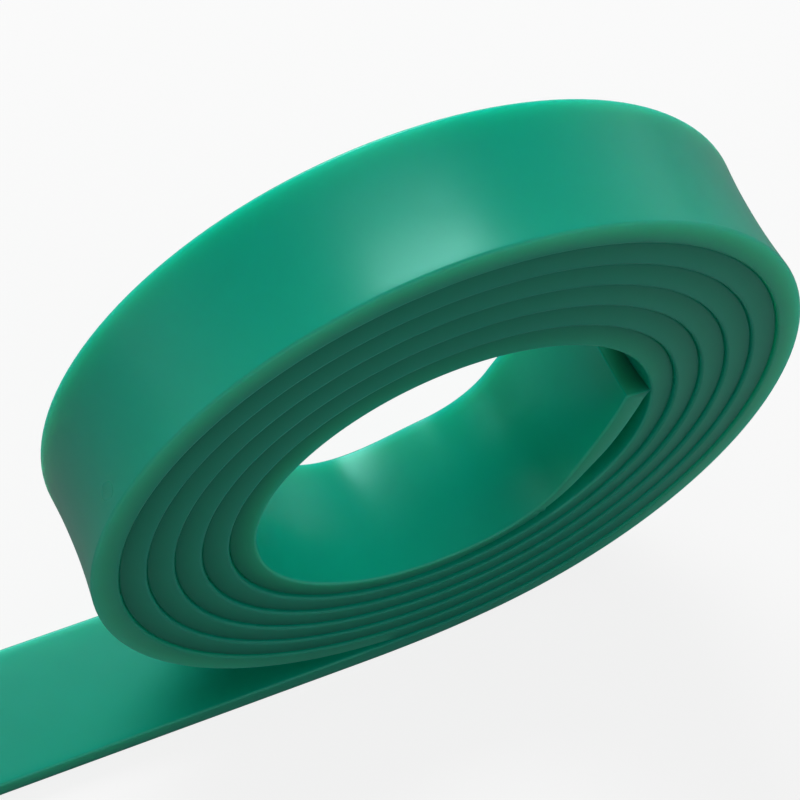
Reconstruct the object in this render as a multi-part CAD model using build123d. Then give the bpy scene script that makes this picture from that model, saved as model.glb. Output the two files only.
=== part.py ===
from build123d import *
from dataclasses import dataclass
from math import cos, radians, sin, sqrt
import os

# A roll of cast polyurethane squeegee strip, the raw stock that blades are cut from.
# The roll stands on its rim, and the loose outer end of the strip, the tail, lies flat under it.
# Z points up, the roll's axis is level and runs along Y, and the tail points along -X.
# The origin is on the floor, in the middle of the width, where the tail begins to curl up.
# Seen from the front, along +Y, the strip runs anticlockwise from the tail in to the bore.
# Lengths are in millimetres and angles in degrees. Radii are those of the strip's outer face.

# The strip, as it is sold
strip_length = 4000.0
strip_width = 50.0
strip_thickness = 9.0
edge_break = 0.7  # the four long edges, dulled by the mould

# The way it is wound
roll_diameter = 255.0
full_turns = 6  # from the start of the tail round to the bottom of the bore
floor_gap = 0.4  # between turns under the bore, where their weight closes them up
side_gap = 0.2  # between turns beside the bore
crown_gap = 1.0  # between turns above the bore, where each hangs a little loose

# The inner end, which follows the turn outside it, then turns up and straightens itself
wound_angle = 15.0
turn_up_angle = 50.0
slack_angle = 14.0
tip_height_angle = 11.0  # how far above the middle of the bore the tip meets the wall
tip_clearance = 0.4  # between the tip's outer corner and the wall

# Half a turn is three arcs of 45, 90 and 45 degrees. For these to meet smoothly, the end arcs
# grow and the side arc shrinks by this much for each millimetre the half reaches past its height.
shoulder_angle = 45.0
side_angle = 90.0
squash_share = 1 + 1 / sqrt(2)


@dataclass
class HalfTurn:
    """The outer face of half a turn, between two points on the roll's upright mid-line."""

    bottom: float
    top: float
    reach: float  # how far to the side it goes

    @property
    def middle(self):
        return (self.top + self.bottom) / 2

    @property
    def squash(self):
        height = (self.top - self.bottom) / 2
        return squash_share * (self.reach - height)

    @property
    def end_radius(self):
        return (self.top - self.bottom) / 2 + self.squash

    @property
    def side_radius(self):
        return self.reach - self.squash

    @property
    def bends(self):
        """Radius and angle of each arc, in order."""
        end = (self.end_radius, shoulder_angle)
        return [end, (self.side_radius, side_angle), end]


def half_turns():
    """Half turns from the outside in. Each rising half is followed by a falling one."""
    halves = []
    for turn in range(full_turns):
        top = roll_diameter - turn * (strip_thickness + crown_gap)
        bottom = turn * (strip_thickness + floor_gap)
        next_bottom = (turn + 1) * (strip_thickness + floor_gap)
        reach = roll_diameter / 2 - turn * (strip_thickness + side_gap)
        inset = (next_bottom - bottom) / 2
        halves.append(HalfTurn(bottom, top, reach))
        halves.append(HalfTurn(next_bottom, top, reach - inset))
    return halves


def inner_end_bends(wall, floor):
    """Radius and angle of each arc that brings the tip's outer corner to the bore's wall.

    The wall is the half turn the tip leans on, and the floor the one that ends under the bore.
    """
    reach = wall.side_radius - strip_thickness - tip_clearance
    tip_x = wall.reach - wall.side_radius + reach * cos(radians(tip_height_angle))
    tip_rise = wall.middle + reach * sin(radians(tip_height_angle)) - floor.bottom
    headings = (wound_angle, wound_angle + turn_up_angle, wound_angle + turn_up_angle + slack_angle)
    sines = [sin(radians(heading)) for heading in headings]
    cosines = [cos(radians(heading)) for heading in headings]
    # What the two free arcs must cover, and how much of it each covers per unit of radius
    run = tip_x - floor.end_radius * sines[0]
    rise = tip_rise - floor.end_radius * (1 - cosines[0])
    turn_up_run, slack_run = sines[1] - sines[0], sines[2] - sines[1]
    turn_up_rise, slack_rise = cosines[0] - cosines[1], cosines[1] - cosines[2]
    share = turn_up_run * slack_rise - slack_run * turn_up_rise
    turn_up_radius = (run * slack_rise - rise * slack_run) / share
    slack_radius = (rise * turn_up_run - run * turn_up_rise) / share
    return [
        (floor.end_radius, wound_angle),
        (turn_up_radius, turn_up_angle),
        (slack_radius, slack_angle),
    ]


def centre_line():
    """The strip's middle line, from the cut end of the tail to the cut end in the bore."""
    halves = half_turns()
    bends = [bend for half in halves for bend in half.bends]
    bends += inner_end_bends(wall=halves[-2], floor=halves[-1])
    half_thickness = strip_thickness / 2
    with BuildLine(Plane.XZ) as wound:
        point, direction = (0, half_thickness), (1, 0)
        for radius, angle in bends:
            arc = JernArc(point, direction, radius - half_thickness, angle)
            point, direction = arc @ 1, arc % 1
    tail_length = strip_length - wound.wire().length
    with BuildLine(Plane.XZ) as tail:
        Line((-tail_length, half_thickness), (0, half_thickness))
    return Wire(tail.edges() + wound.edges())


def strip_section(path):
    """The strip's section, square to the start of its path."""
    plane = Plane(origin=path @ 0, x_dir=(0, 1, 0), z_dir=path % 0)
    rectangle = Rectangle(strip_width, strip_thickness)
    return plane * chamfer(rectangle.vertices(), edge_break)


path = centre_line()
section = strip_section(path)
squeegee_strip = sweep(section, path)

bounds = squeegee_strip.bounding_box()
bore_height = half_turns()[-1].top - half_turns()[-1].bottom - 2 * strip_thickness
print(f"roll {roll_diameter} across, bore {bore_height:.2f} high, tail {-bounds.min.X:.2f} long")
print(f"strip {path.length:.1f} long, swept volume is", end=" ")
print(f"{squeegee_strip.volume / (section.area * path.length):.6f} of section times length")

os.makedirs("parts", exist_ok=True)
export_step(squeegee_strip, "parts/squeegee_strip.step")
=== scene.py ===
"""A roll of cast polyurethane squeegee strip, dressed round its CAD frame.

The strip is modelled flat at its tail and wound from there, and then its section is let settle
as a bent elastomer's does: the side towards the bore swells wider and the long edges curl
outwards. Everything is in metres, Z up, with the roll's axis along Y and the tail along -X.
"""

import logging
from collections.abc import Iterable
from dataclasses import dataclass, field
from enum import Enum
from math import cos, pi, radians, sin, sqrt

import bmesh
import bpy
from mathutils import Matrix, Vector
from mathutils.kdtree import KDTree


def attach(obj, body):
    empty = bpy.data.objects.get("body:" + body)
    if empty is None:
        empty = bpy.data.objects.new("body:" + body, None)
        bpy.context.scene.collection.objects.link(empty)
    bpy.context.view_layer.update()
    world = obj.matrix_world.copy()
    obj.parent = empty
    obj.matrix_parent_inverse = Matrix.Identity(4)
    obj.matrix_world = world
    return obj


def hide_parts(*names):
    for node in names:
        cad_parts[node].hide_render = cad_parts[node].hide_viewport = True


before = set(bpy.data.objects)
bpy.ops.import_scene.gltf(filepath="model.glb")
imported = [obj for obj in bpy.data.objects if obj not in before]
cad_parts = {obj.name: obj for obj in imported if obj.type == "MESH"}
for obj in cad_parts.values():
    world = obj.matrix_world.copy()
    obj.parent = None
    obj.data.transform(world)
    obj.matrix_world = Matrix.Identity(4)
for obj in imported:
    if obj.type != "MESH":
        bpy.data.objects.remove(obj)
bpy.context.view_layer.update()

MM = 0.001

log = logging.getLogger("squeegee_roll")


def linear(colour: str) -> tuple[float, float, float, float]:
    """Turns an sRGB hex colour into the linear colour that a node socket holds.

    Args:
        colour: The colour as "#rrggbb".

    Returns:
        Red, green, blue and alpha, with alpha 1.
    """
    channels = [int(colour[i : i + 2], 16) / 255 for i in (1, 3, 5)]
    lit = [c / 12.92 if c <= 0.04045 else ((c + 0.055) / 1.055) ** 2.4 for c in channels]
    return (*lit, 1.0)


def add_node(
    tree: bpy.types.NodeTree,
    kind: str,
    settings: dict[str, object] | None = None,
    inputs: dict[str | int, object] | None = None,
) -> bpy.types.Node:
    """Adds a node with its settings and links.

    Args:
        tree: The node tree that gets the node.
        kind: The node's type, such as "ShaderNodeMix".
        settings: Attributes of the node, by name.
        inputs: Sockets by name or number, each with a value or with the output that feeds it.

    Returns:
        The new node.
    """
    node = tree.nodes.new(kind)
    for name, value in (settings or {}).items():
        setattr(node, name, value)
    for socket, value in (inputs or {}).items():
        if isinstance(value, bpy.types.NodeSocket):
            tree.links.new(value, node.inputs[socket])
        else:
            node.inputs[socket].default_value = value
    return node


def deselect_everything() -> None:
    """Leaves nothing selected, so that the next operator acts on what it makes."""
    if bpy.context.mode != "OBJECT":
        bpy.ops.object.mode_set(mode="OBJECT")
    bpy.ops.object.select_all(action="DESELECT")


@dataclass(frozen=True)
class Bend:
    """An arc of the winding: its outer face's radius, the angle it turns and its mesh steps."""

    radius: float
    angle: float
    steps: int


@dataclass(frozen=True)
class Station:
    """A place along the strip where its mesh has a section.

    Attributes:
        x: Where the outer face is, along the floor.
        z: How high the outer face is.
        heading: The way the strip runs there, in radians up from +X.
        along: Distance from the tail's cut end, along the strip's middle line.
        curvature: How sharply the middle line bends there, per metre.
    """

    x: float
    z: float
    heading: float
    along: float
    curvature: float

    @property
    def tangent(self) -> Vector:
        """The way the strip runs."""
        return Vector((cos(self.heading), 0, sin(self.heading)))

    @property
    def inward(self) -> Vector:
        """The way from the outer face to the inner one."""
        return Vector((-sin(self.heading), 0, cos(self.heading)))

    @property
    def place(self) -> Vector:
        """The outer face's point, in the middle of the width."""
        return Vector((self.x, 0, self.z))


@dataclass
class Winding:
    """How the strip lies: a straight tail, full turns round the bore and a loose inner end."""

    strip_length: float = 4000 * MM
    thickness: float = 9 * MM
    roll_diameter: float = 255 * MM
    full_turns: int = 6
    floor_gap: float = 0.4 * MM
    side_gap: float = 0.2 * MM
    crown_gap: float = 1.0 * MM
    wound_angle: float = radians(15)
    turn_up_angle: float = radians(50)
    slack_angle: float = radians(14)
    tip_height_angle: float = radians(11)
    tip_clearance: float = 0.4 * MM
    steps_per_quarter: int = 36
    tail_steps: int = 40
    squash_share: float = 1 + 1 / sqrt(2)

    def half_turns(self) -> list[tuple[float, float, float]]:
        """Lists the half turns from the outside in, a rising one and then a falling one.

        Returns:
            The bottom, the top and the sideways reach of each half turn's outer face.
        """
        halves = []
        for turn in range(self.full_turns):
            top = self.roll_diameter - turn * (self.thickness + self.crown_gap)
            bottom = turn * (self.thickness + self.floor_gap)
            reach = self.roll_diameter / 2 - turn * (self.thickness + self.side_gap)
            inset = self.thickness + self.floor_gap
            halves.append((bottom, top, reach))
            halves.append((bottom + inset, top, reach - inset / 2))
        return halves

    def radii(self, half: tuple[float, float, float]) -> tuple[float, float]:
        """Works out the radii of a half turn's end arcs and of its side arc.

        Args:
            half: The half turn's bottom, top and reach.

        Returns:
            The end radius and the side radius.
        """
        bottom, top, reach = half
        height = (top - bottom) / 2
        squash = self.squash_share * (reach - height)
        return height + squash, reach - squash

    def bends(self) -> list[Bend]:
        """Lists every arc, from where the tail curls up to the tip of the inner end."""
        eighth = self.steps_per_quarter // 2
        bends = []
        for half in self.half_turns():
            end, side = self.radii(half)
            bends += [
                Bend(end, pi / 4, eighth),
                Bend(side, pi / 2, self.steps_per_quarter),
                Bend(end, pi / 4, eighth),
            ]
        return bends + self.inner_end()

    def inner_end(self) -> list[Bend]:
        """Lists the inner end's arcs, which bring the tip's outer corner to the bore's wall."""
        wall, floor = self.half_turns()[-2:]
        wall_radius, floor_radius = self.radii(wall)[1], self.radii(floor)[0]
        reach = wall_radius - self.thickness - self.tip_clearance
        tip_x = wall[2] - wall_radius + reach * cos(self.tip_height_angle)
        tip_rise = (wall[0] + wall[1]) / 2 + reach * sin(self.tip_height_angle) - floor[0]
        first = self.wound_angle
        second = first + self.turn_up_angle
        third = second + self.slack_angle
        run = tip_x - floor_radius * sin(first)
        rise = tip_rise - floor_radius * (1 - cos(first))
        turn_up_run, slack_run = sin(second) - sin(first), sin(third) - sin(second)
        turn_up_rise, slack_rise = cos(first) - cos(second), cos(second) - cos(third)
        share = turn_up_run * slack_rise - slack_run * turn_up_rise
        turn_up = (run * slack_rise - rise * slack_run) / share
        slack = (rise * turn_up_run - run * turn_up_rise) / share
        return [
            Bend(floor_radius, self.wound_angle, 8),
            Bend(turn_up, self.turn_up_angle, 30),
            Bend(slack, self.slack_angle, 14),
        ]

    def tail_length(self) -> float:
        """What the turns leave of the strip's length."""
        half_thickness = self.thickness / 2
        return self.strip_length - sum(
            (bend.radius - half_thickness) * bend.angle for bend in self.bends()
        )

    def stations(self) -> list[Station]:
        """Lists where the mesh has a section, from the tail's cut end to the inner end's tip."""
        tail = self.tail_length()
        places = [
            Station(tail * (i / self.tail_steps - 1), 0, 0, tail * i / self.tail_steps, 0)
            for i in range(self.tail_steps + 1)
        ]
        for bend in self.bends():
            start = places[-1]
            centre = start.place + start.inward * bend.radius
            middle_radius = bend.radius - self.thickness / 2
            for i in range(1, bend.steps + 1):
                turned = bend.angle * i / bend.steps
                heading = start.heading + turned
                places.append(
                    Station(
                        centre.x + bend.radius * sin(heading),
                        centre.z - bend.radius * cos(heading),
                        heading,
                        start.along + middle_radius * turned,
                        1 / middle_radius,
                    )
                )
        return places


class Surface(Enum):
    """How a face of the strip was made."""

    CAST = "cast"
    KNIFE_CUT = "knife_cut"


@dataclass(frozen=True)
class CastPolyurethane:
    """Polyurethane elastomer, pigmented green and cast against a polished mould.

    The wide faces are smooth, with a soft satin gloss. The long edges are a little duller and
    greyer, with painted shade deep in the seams and painted light on bare corners and along the
    outermost turn's outer margin. Light goes a few millimetres in and glows out of the edges.
    """

    surface: Surface
    green: str = "#06a587"
    cloud_green: str = "#059b7e"
    edge_green: str = "#269b7b"
    # The darker of the next two colours is painted shade deep in the seams between turns; the paler
    # one is painted light on bare corners and along the outermost turn's outer margin
    painted_shade_green: str = "#0f7a5f"
    painted_light_green: str = "#52c49e"
    # Gloss seen straight on takes the colour of the skin, and turns white only at a glancing view
    gloss_tint: str = "#aaf6ee"
    face_roughness: float = 0.25
    edge_roughness: float = 0.48
    # Green light goes deepest, red light hardly below the skin
    light_share: float = 0.6
    light_depth: float = 45 * MM
    depth_by_colour: tuple[float, float, float] = (0.12, 1.0, 0.6)
    cloud_size: float = 45 * MM
    swell_size: float = 14 * MM
    drag_line_width: float = 0.8 * MM

    def material(self) -> bpy.types.Material:
        """Makes the material, which reads the strip's own attributes.

        Returns:
            The finished material.
        """
        material = bpy.data.materials.new(f"{self.surface.value}_polyurethane")
        material.use_nodes = True
        tree = material.node_tree
        tree.nodes.clear()
        place = add_node(tree, "ShaderNodeAttribute", {"attribute_name": "strip_place"})
        if self.surface is Surface.CAST:
            edge = add_node(tree, "ShaderNodeAttribute", {"attribute_name": "long_edge"})
            edge_share = edge.outputs["Fac"]
        else:
            edge_share = add_node(tree, "ShaderNodeValue").outputs[0]
            edge_share.default_value = 1.0
        cloud = add_node(
            tree,
            "ShaderNodeTexNoise",
            inputs={"Vector": place.outputs["Vector"], "Scale": 1 / self.cloud_size, "Detail": 2.0},
        )
        body = add_node(
            tree,
            "ShaderNodeMix",
            {"data_type": "RGBA"},
            {0: cloud.outputs["Fac"], 6: linear(self.green), 7: linear(self.cloud_green)},
        )
        # Painted shade and painted light on the long edges: the ramp runs from painted shade deep in a
        # seam, through the plain edge colour, to painted light on a bare corner
        edge_light = add_node(tree, "ShaderNodeAttribute", {"attribute_name": "edge_light"})
        edge_colour_with_painted_light = add_node(
            tree, "ShaderNodeValToRGB", inputs={"Fac": edge_light.outputs["Fac"]}
        )
        ramp = edge_colour_with_painted_light.color_ramp.elements
        ramp[0].color, ramp[1].color = linear(self.painted_shade_green), linear(self.painted_light_green)
        ramp.new(0.5).color = linear(self.edge_green)
        colour = add_node(
            tree,
            "ShaderNodeMix",
            {"data_type": "RGBA"},
            {0: edge_share, 6: body.outputs[2], 7: edge_colour_with_painted_light.outputs["Color"]},
        )
        roughness = add_node(
            tree,
            "ShaderNodeMapRange",
            inputs={"Value": edge_share, "To Min": self.face_roughness, "To Max": self.edge_roughness},
        )
        worn = add_node(
            tree,
            "ShaderNodeMath",
            {"operation": "MULTIPLY_ADD"},
            {0: cloud.outputs["Fac"], 1: 0.08, 2: roughness.outputs[0]},
        )
        swell = add_node(
            tree,
            "ShaderNodeTexNoise",
            inputs={"Vector": place.outputs["Vector"], "Scale": 1 / self.swell_size, "Detail": 1.0},
        )
        swell_bump = add_node(
            tree,
            "ShaderNodeBump",
            inputs={"Strength": 0.12, "Distance": 0.6 * MM, "Height": swell.outputs["Fac"]},
        )
        drag = add_node(
            tree,
            "ShaderNodeMapping",
            inputs={"Vector": place.outputs["Vector"], "Scale": (0.04, 1.0, 1.0)},
        )
        drag_lines = add_node(
            tree,
            "ShaderNodeTexNoise",
            inputs={
                "Vector": drag.outputs["Vector"],
                "Scale": 1 / self.drag_line_width,
                "Detail": 1.0,
            },
        )
        drag_height = add_node(
            tree,
            "ShaderNodeMath",
            {"operation": "MULTIPLY"},
            {0: drag_lines.outputs["Fac"], 1: edge_share},
        )
        bump = add_node(
            tree,
            "ShaderNodeBump",
            inputs={
                "Strength": 0.10,
                "Distance": 0.1 * MM,
                "Height": drag_height.outputs[0],
                "Normal": swell_bump.outputs["Normal"],
            },
        )
        shader = add_node(
            tree,
            "ShaderNodeBsdfPrincipled",
            {"subsurface_method": "RANDOM_WALK"},
            {
                "Base Color": colour.outputs[2],
                "Roughness": worn.outputs[0],
                "IOR": 1.5,
                "Specular Tint": linear(self.gloss_tint),
                "Normal": bump.outputs["Normal"],
                "Subsurface Weight": self.light_share,
                "Subsurface Radius": self.depth_by_colour,
                "Subsurface Scale": self.light_depth,
            },
        )
        add_node(tree, "ShaderNodeOutputMaterial", inputs={"Surface": shader.outputs[0]})
        return material


@dataclass
class SqueegeeStrip:
    """The whole strip, one piece of elastomer from the tail's cut end to the tip in the bore."""

    winding: Winding = field(default_factory=Winding)
    width: float = 50 * MM
    edge_radius: float = 1.0 * MM
    edge_segments: int = 4
    columns: int = 14
    cut_edge_radius: float = 0.35 * MM
    # An elastomer keeps its volume, so what is pressed together lengthways spreads sideways
    poisson_ratio: float = 0.5
    # Over this length the section changes from one bend's shape to the next one's
    settling_length: float = 30 * MM
    skin_gap: float = 0.08 * MM
    widest_swelling: float = 1.5 * MM
    front_lean: float = 0.6 * MM
    back_lean: float = 8.5 * MM
    # From the tip: where the inner end starts to lean, where it leans most and where it stops
    lean_lengths: tuple[float, float, float] = (145 * MM, 95 * MM, 50 * MM)

    def build(self) -> bpy.types.Object:
        """Models the strip and finishes its mesh.

        Returns:
            The strip, at the origin, with its place in its mesh.
        """
        stations = self.winding.stations()
        strip = self.draw_section(stations[0])
        self.lay_tail()
        self.wind(stations)
        self.close_end(strip, stations[0])
        self.close_end(strip, stations[-1])
        bpy.ops.object.mode_set(mode="OBJECT")
        self.settle(strip.data, stations)
        self.smooth(strip)
        return strip

    def draw_section(self, start: Station) -> bpy.types.Object:
        """Draws the outline of the strip's section at the tail's cut end.

        Args:
            start: The station of the cut end.

        Returns:
            The object, in edit mode, with the outline selected.
        """
        deselect_everything()
        thickness = self.winding.thickness
        bpy.ops.mesh.primitive_grid_add(
            x_subdivisions=1,
            y_subdivisions=self.columns,
            size=1,
            location=(start.x, 0, thickness / 2),
        )
        strip = bpy.context.active_object
        strip.name = strip.data.name = "squeegee_strip_cast"
        bpy.ops.object.transform_apply(location=True, rotation=False, scale=False)
        bpy.ops.object.mode_set(mode="EDIT")
        centre = (start.x, 0, thickness / 2)
        bpy.ops.transform.resize(value=(thickness, self.width, 1), center_override=centre)
        bpy.ops.transform.rotate(value=pi / 2, orient_axis="Y", center_override=centre)
        self.select_corners(strip)
        bpy.ops.mesh.bevel(
            offset=self.edge_radius, segments=self.edge_segments, affect="VERTICES"
        )
        bpy.ops.mesh.select_all(action="SELECT")
        bpy.ops.mesh.region_to_loop()
        bpy.ops.mesh.select_all(action="INVERT")
        bpy.ops.mesh.delete(type="EDGE_FACE")
        bpy.ops.mesh.select_all(action="SELECT")
        return strip

    def select_corners(self, strip: bpy.types.Object) -> None:
        """Selects the four corners of the section.

        Args:
            strip: The object in edit mode.
        """
        bpy.ops.mesh.select_all(action="DESELECT")
        mesh = bmesh.from_edit_mesh(strip.data)
        for vertex in mesh.verts:
            vertex.select_set(abs(vertex.co.y) > self.width / 2 - 0.1 * MM)
        mesh.select_flush_mode()
        bmesh.update_edit_mesh(strip.data)

    def lay_tail(self) -> None:
        """Runs the selected outline along the floor to where the tail curls up."""
        step = self.winding.tail_length() / self.winding.tail_steps
        for _ in range(self.winding.tail_steps):
            bpy.ops.mesh.extrude_region_move(TRANSFORM_OT_translate={"value": (step, 0, 0)})

    def wind(self, stations: list[Station]) -> None:
        """Spins the selected outline through every bend of the roll.

        Args:
            stations: Where the sections come.
        """
        reached = self.winding.tail_steps
        for bend in self.winding.bends():
            start = stations[reached]
            bpy.ops.mesh.spin(
                steps=bend.steps,
                angle=bend.angle,
                center=start.place + start.inward * bend.radius,
                axis=(0, 1, 0),
                use_auto_merge=False,
            )
            reached += bend.steps

    def settle(self, mesh: bpy.types.Mesh, stations: list[Station]) -> None:
        """Lets each section take the shape that its bend gives it, and notes where it is.

        The section turns into a sector of a ring whose centre is outside the roll. Its inner
        face stays as wide as the strip, its outer face is narrower, and its long edges stay
        where they were while the middle moves towards the bore. The outer face then swells
        against the turn round it, and the loose inner end leans in at the back.

        Args:
            mesh: The wound mesh.
            stations: Where the sections are.
        """
        mesh.attributes.new("strip_place", "FLOAT_VECTOR", "POINT")
        mesh.attributes.new("long_edge", "FLOAT", "POINT")
        mesh.attributes.new("edge_light", "FLOAT", "POINT")
        place, edge = mesh.attributes["strip_place"], mesh.attributes["long_edge"]
        light = mesh.attributes["edge_light"]
        flat = self.width / 2 - self.edge_radius
        curvatures = [self.settled_curvature(stations, i) for i in range(len(stations))]
        outside, inside = self.gaps(stations, True), self.gaps(stations, False)
        middles = KDTree(len(stations))
        for number, station in enumerate(stations):
            middles.insert(station.place + station.inward * self.winding.thickness / 2, number)
        middles.balance()
        for vertex in mesh.vertices:
            level = Vector((vertex.co.x, 0, vertex.co.z))
            near = [number for _, number, _ in middles.find_n(level, 6)]
            number = min(near, key=lambda n: self.distance_from_section(level, stations[n]))
            station = stations[number]
            away, across = level - station.place, vertex.co.y
            depth = away.dot(station.inward)
            place.data[vertex.index].vector = (station.along, across, depth)
            roundness = max(0.0, abs(across) - flat) / self.edge_radius
            edge.data[vertex.index].value = roundness
            # Painted shade and painted light for the long edges' colour
            light.data[vertex.index].value = self.edge_light(
                depth, roundness, outside[number], inside[number]
            )
            settled_across, settled_depth = self.settled(across, depth, curvatures[number])
            if outside[number] < self.widest_swelling:
                swelling = max(0.0, outside[number] - self.skin_gap)
                settled_depth -= swelling * (1 - depth / self.winding.thickness)
            settled_depth += self.lean(stations[-1].along - station.along, across)
            vertex.co = (
                station.place
                + station.tangent * away.dot(station.tangent)
                + station.inward * settled_depth
            )
            vertex.co.y = settled_across

    def gaps(self, stations: list[Station], outside: bool) -> list[float]:
        """Measures the gap between each section and the turn next to it.

        Args:
            stations: Where the sections are.
            outside: Whether that is the turn that lies round it, or the one that it lies round.

        Returns:
            The gap at each section, which is the strip's width where no turn is near.
        """
        way, facing_depth = (1, self.winding.thickness) if outside else (-1, 0.0)
        faces = KDTree(len(stations))
        for number, station in enumerate(stations):
            faces.insert(station.place + station.inward * facing_depth, number)
        faces.balance()
        gaps = []
        for station in stations:
            own = station.place + station.inward * (self.winding.thickness - facing_depth)
            facing, _, distance = faces.find(
                own, filter=lambda n: (station.along - stations[n].along) * way > self.width * 4
            )
            if facing is None or distance > self.width / 4:
                gaps.append(self.width)
            else:
                gaps.append((own - facing).dot(station.inward) * way)
        return gaps

    def edge_light(self, depth: float, roundness: float, outside: float, inside: float) -> float:
        """Tells how much painted shade or painted light a long edge gets, from 0 deep in a seam to 1
        on a bare corner.

        Args:
            depth: How far the point is from the outer face.
            roundness: How far round the long edge it is, from 0 on the wide face to 1.
            outside: The gap to the turn round it.
            inside: The gap to the turn that it lies round.

        Returns:
            The share, which is a half where nothing is near.
        """
        inward = depth / self.winding.thickness
        light = 0.5
        # Painted shade towards the outer face where a turn lies round it, and painted light on the
        # outermost turn's outer margin where none does
        if outside < self.widest_swelling:
            light -= 0.45 * (1 - inward)
        else:
            light += 0.25 * (1 - inward)
        # Painted light towards the bore side where a turn lies inside, and a painted highlight along a
        # bare bore-side corner
        if inside < self.widest_swelling:
            light += 0.05 * inward
        elif inward > 0.5:
            light += 1.6 * roundness * (1 - roundness)
        return light

    def lean(self, from_tip: float, across: float) -> float:
        """Tells how far the loose inner end leans into the bore, most at its back edge.

        Args:
            from_tip: The section's distance from the inner end's tip, along the strip.
            across: Where the point is across the width, from the middle.

        Returns:
            The distance towards the bore.
        """
        start, full, tip = self.lean_lengths
        risen = min(1.0, max(0.0, (start - from_tip) / (start - full)))
        fallen = min(1.0, from_tip / tip)
        share = (1 - cos(pi * risen)) / 2 * (1 - cos(pi * fallen)) / 2
        backward = across / self.width + 0.5
        return share * (self.front_lean + (self.back_lean - self.front_lean) * backward)

    def distance_from_section(self, point: Vector, station: Station) -> float:
        """Measures how far a point lies outside a section, off its plane or past its faces.

        Args:
            point: The point, brought to the middle of the width.
            station: The section's station.

        Returns:
            The distance, which is next to nothing for the point's own section.
        """
        away = point - station.place
        depth = away.dot(station.inward)
        past_faces = max(0.0, -depth, depth - self.winding.thickness)
        return abs(away.dot(station.tangent)) + past_faces

    def settled_curvature(self, stations: list[Station], number: int) -> float:
        """Averages the curvature round a station, nearer stations counting for more.

        Args:
            stations: Where the sections are.
            number: Which station it is.

        Returns:
            The curvature that shapes the section there, per metre.
        """
        here = stations[number].along
        total = weights = 0.0
        for step in (-1, 1):
            other = number if step > 0 else number - 1
            while 0 <= other < len(stations):
                gap = abs(stations[other].along - here)
                if gap > self.settling_length:
                    break
                weight = 1 + cos(pi * gap / self.settling_length)
                total += weight * stations[other].curvature
                weights += weight
                other += step
        return total / weights

    def settled(self, across: float, depth: float, curvature: float) -> tuple[float, float]:
        """Moves a point of the flat section to its place in the bent strip.

        Args:
            across: Where the point is across the width, from the middle.
            depth: How far it is from the outer face.
            curvature: How sharply the strip bends, per metre.

        Returns:
            The new distance across and the new depth.
        """
        if curvature * self.poisson_ratio < 1e-3:
            return across, depth
        bow = 1 / (curvature * self.poisson_ratio)
        half_thickness = self.winding.thickness / 2
        half_angle = self.width / 2 / bow
        narrowing = self.width / 2 / ((bow + half_thickness) * sin(half_angle))
        rise = (bow - half_thickness) * (1 - cos(half_angle))
        radius = bow + depth - half_thickness
        angle = across / bow
        return narrowing * radius * sin(angle), radius * cos(angle) - bow + half_thickness + rise

    def close_end(self, strip: bpy.types.Object, end: Station) -> None:
        """Closes an end of the strip with a knife cut and dulls the cut's edges.

        Args:
            strip: The strip in edit mode.
            end: The station of that end.
        """
        bpy.ops.mesh.select_all(action="DESELECT")
        mesh = bmesh.from_edit_mesh(strip.data)
        for vertex in mesh.verts:
            away = vertex.co - end.place
            depth = away.dot(end.inward)
            on_cut = abs(away.dot(end.tangent)) < 0.01 * MM
            vertex.select_set(on_cut and -0.1 * MM < depth < self.winding.thickness + 0.1 * MM)
        mesh.select_flush_mode()
        bmesh.update_edit_mesh(strip.data)
        bpy.ops.mesh.edge_face_add()
        bpy.ops.mesh.bevel(offset=self.cut_edge_radius, segments=2, affect="EDGES")

    def smooth(self, strip: bpy.types.Object) -> None:
        """Turns every face outwards and smooths the shading over the rounded edges.

        Args:
            strip: The closed strip in object mode.
        """
        bpy.ops.object.mode_set(mode="EDIT")
        bpy.ops.mesh.select_all(action="SELECT")
        bpy.ops.mesh.remove_doubles(threshold=0.001 * MM)
        bpy.ops.mesh.normals_make_consistent(inside=False)
        bpy.ops.object.mode_set(mode="OBJECT")
        bpy.ops.object.shade_smooth_by_angle(angle=radians(50))
        bpy.ops.object.modifier_add(type="WEIGHTED_NORMAL")
        strip.modifiers[-1].keep_sharp = True
        bpy.ops.object.modifier_apply(modifier=strip.modifiers[-1].name)

    def dress(self, strip: bpy.types.Object) -> None:
        """Gives the cast faces and the two knife-cut ends their finishes.

        Args:
            strip: The finished strip.
        """
        strip.data.materials.append(CastPolyurethane(Surface.CAST).material())
        strip.data.materials.append(CastPolyurethane(Surface.KNIFE_CUT).material())
        for face in strip.data.polygons:
            face.material_index = 1 if len(face.vertices) > 4 else 0
        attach(strip, "root")
        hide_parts("squeegee_strip")


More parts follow.
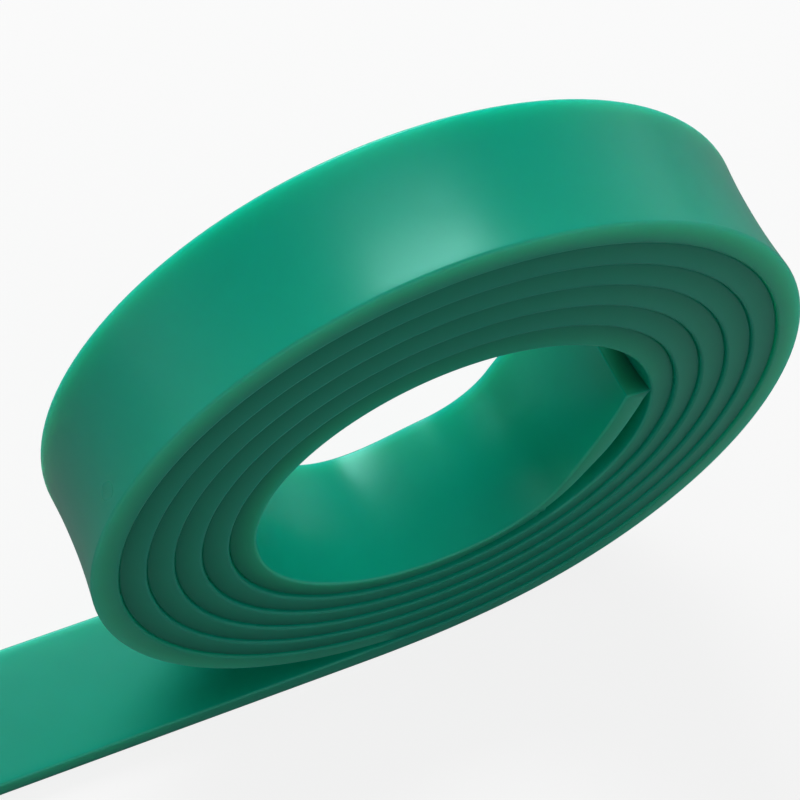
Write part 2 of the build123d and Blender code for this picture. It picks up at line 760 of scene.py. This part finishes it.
@dataclass
class Viewpoint:
    """Where the roll is seen from: high up, off its front left.

    Attributes:
        azimuth: How far round from the front, towards +X.
        elevation: How far above the level.
        roll: How far the camera leans, anticlockwise as it looks.
        focal_length: In widths of the picture.
        distance: Along the view, from the camera to the middle of the roll.
        aim: Where the roll's middle is in the picture, in widths from its centre, right and up.
    """

    azimuth: float = radians(-30.152)
    elevation: float = radians(58.894)
    roll: float = radians(7.875)
    focal_length: float = 2.89494
    distance: float = 764.749 * MM
    aim: tuple[float, float] = (0.025558, -0.01851)
    sensor_width: float = 36.0

    def place_camera(self, target: Vector) -> bpy.types.Object:
        """Adds the camera and makes it the scene's own.

        Args:
            target: The middle of the roll.

        Returns:
            The camera.
        """
        deselect_everything()
        back = Vector(
            (
                sin(self.azimuth) * cos(self.elevation),
                -cos(self.azimuth) * cos(self.elevation),
                sin(self.elevation),
            )
        )
        level = Vector((0, 0, 1)).cross(back).normalized()
        upright = back.cross(level)
        right = level * cos(self.roll) + upright * sin(self.roll)
        up = upright * cos(self.roll) - level * sin(self.roll)
        reach = self.distance / self.focal_length
        place = target + back * self.distance - right * self.aim[0] * reach - up * self.aim[1] * reach
        bpy.ops.object.camera_add()
        camera = bpy.context.active_object
        camera.name = "camera"
        turn = Matrix((right, up, back)).transposed().to_4x4()
        camera.matrix_world = Matrix.Translation(place) @ turn
        camera.data.sensor_width = self.sensor_width
        camera.data.lens = self.focal_length * self.sensor_width
        camera.data.clip_start, camera.data.clip_end = 10 * MM, 20.0
        bpy.context.scene.camera = camera
        return camera


@dataclass(frozen=True)
class Softbox:
    """A square softbox that points at the roll, with a highlight of its own or without one."""

    name: str
    place: tuple[float, float, float]
    size: float
    watts: float
    shines: bool

    def light(self, target: Vector) -> bpy.types.Object:
        """Adds the softbox.

        Args:
            target: What it points at.

        Returns:
            The lamp.
        """
        deselect_everything()
        bpy.ops.object.light_add(type="AREA", location=self.place)
        lamp = bpy.context.active_object
        lamp.name = self.name
        lamp.data.size = self.size
        lamp.data.energy = self.watts
        lamp.visible_glossy = self.shines
        away = Vector(self.place) - target
        lamp.rotation_mode = "QUATERNION"
        lamp.rotation_quaternion = away.to_track_quat("Z", "Y")
        return lamp


@dataclass
class Studio:
    """A white sweep of paper under soft light."""

    target: Vector = field(default_factory=lambda: Vector((0, 0, 127.5 * MM)))
    floor_size: float = 6.0
    floor_white: str = "#f7f7f7"
    floor_bounce: str = "#5c6060"
    floor_gloss: str = "#a8aeae"
    shadow_lightening: float = 0.84
    horizon_strength: float = 0.75
    ceiling_strength: float = 0.12
    softboxes: tuple[Softbox, ...] = (
        Softbox("back_softbox", (0.10, 1.16, 1.16), 0.75, 20, True),
        Softbox("overhead_softbox", (-0.4, 0.35, 1.9), 1.2, 4.5, False),
        Softbox("right_card", (0.75, -0.6, 0.3), 0.4, 1.0, False),
    )

    def build(self) -> None:
        """Lays the floor, hangs the lamps and lights the surroundings."""
        self.lay_floor()
        for softbox in self.softboxes:
            softbox.light(self.target)
        self.light_surroundings()
        bpy.context.scene.view_settings.view_transform = "Standard"

    def lay_floor(self) -> bpy.types.Object:
        """Lays the paper floor.

        Returns:
            The floor.
        """
        deselect_everything()
        bpy.ops.mesh.primitive_plane_add(size=self.floor_size)
        floor = bpy.context.active_object
        floor.name = "paper_floor"
        material = bpy.data.materials.new("white_background_paper")
        material.use_nodes = True
        tree = material.node_tree
        tree.nodes.clear()
        # The camera sees white paper, and the roll is lit by a greyer one
        path = add_node(tree, "ShaderNodeLightPath")
        mirrored = add_node(
            tree,
            "ShaderNodeMix",
            {"data_type": "RGBA"},
            {
                0: path.outputs["Is Glossy Ray"],
                6: linear(self.floor_bounce),
                7: linear(self.floor_gloss),
            },
        )
        seen = add_node(
            tree,
            "ShaderNodeMix",
            {"data_type": "RGBA"},
            {
                0: path.outputs["Is Camera Ray"],
                6: mirrored.outputs[2],
                7: linear(self.floor_white),
            },
        )
        paper = add_node(
            tree, "ShaderNodeBsdfDiffuse", inputs={"Color": seen.outputs[2], "Roughness": 1.0}
        )
        white = add_node(tree, "ShaderNodeEmission", inputs={"Strength": 1.0})
        whitened = add_node(
            tree,
            "ShaderNodeMath",
            {"operation": "MULTIPLY"},
            {0: path.outputs["Is Camera Ray"], 1: self.shadow_lightening},
        )
        shown = add_node(
            tree,
            "ShaderNodeMixShader",
            inputs={0: whitened.outputs[0], 1: paper.outputs[0], 2: white.outputs[0]},
        )
        add_node(tree, "ShaderNodeOutputMaterial", inputs={"Surface": shown.outputs[0]})
        floor.data.materials.append(material)
        return floor

    def light_surroundings(self) -> None:
        """Makes the room white to the eye and in reflections, and a soft fill light elsewhere."""
        world = bpy.data.worlds.new("white_room")
        bpy.context.scene.world = world
        world.use_nodes = True
        tree = world.node_tree
        tree.nodes.clear()
        path = add_node(tree, "ShaderNodeLightPath")
        direction = add_node(tree, "ShaderNodeTexCoord")
        height = add_node(
            tree, "ShaderNodeSeparateXYZ", inputs={0: direction.outputs["Generated"]}
        )
        room = add_node(
            tree,
            "ShaderNodeMapRange",
            {"interpolation_type": "SMOOTHSTEP"},
            {
                "Value": height.outputs["Z"],
                "From Max": 0.7,
                "To Min": self.horizon_strength,
                "To Max": self.ceiling_strength,
            },
        )
        shown = add_node(
            tree,
            "ShaderNodeMath",
            {"operation": "MAXIMUM"},
            {0: room.outputs[0], 1: path.outputs["Is Camera Ray"]},
        )
        sky = add_node(
            tree,
            "ShaderNodeBackground",
            inputs={"Color": (1.0, 1.0, 1.0, 1.0), "Strength": shown.outputs[0]},
        )
        add_node(tree, "ShaderNodeOutputWorld", inputs={"Surface": sky.outputs[0]})


def report(pieces: Iterable[bpy.types.Object]) -> None:
    """Logs how large each piece is.

    Args:
        pieces: The finished pieces.
    """
    for piece in pieces:
        size = [round(side / MM, 1) for side in piece.dimensions]
        log.info("%s: %s mm, %d faces", piece.name, size, len(piece.data.polygons))


def main() -> None:
    """Builds the strip and the studio, places the camera, and notes the visual model's box."""
    logging.basicConfig(level=logging.INFO, format="%(name)s: %(message)s")
    squeegee_strip = SqueegeeStrip()
    strip = squeegee_strip.build()
    squeegee_strip.dress(strip)
    report([strip])
    studio = Studio()
    studio.build()
    Viewpoint().place_camera(studio.target)


if __name__ == "__main__":
    main()
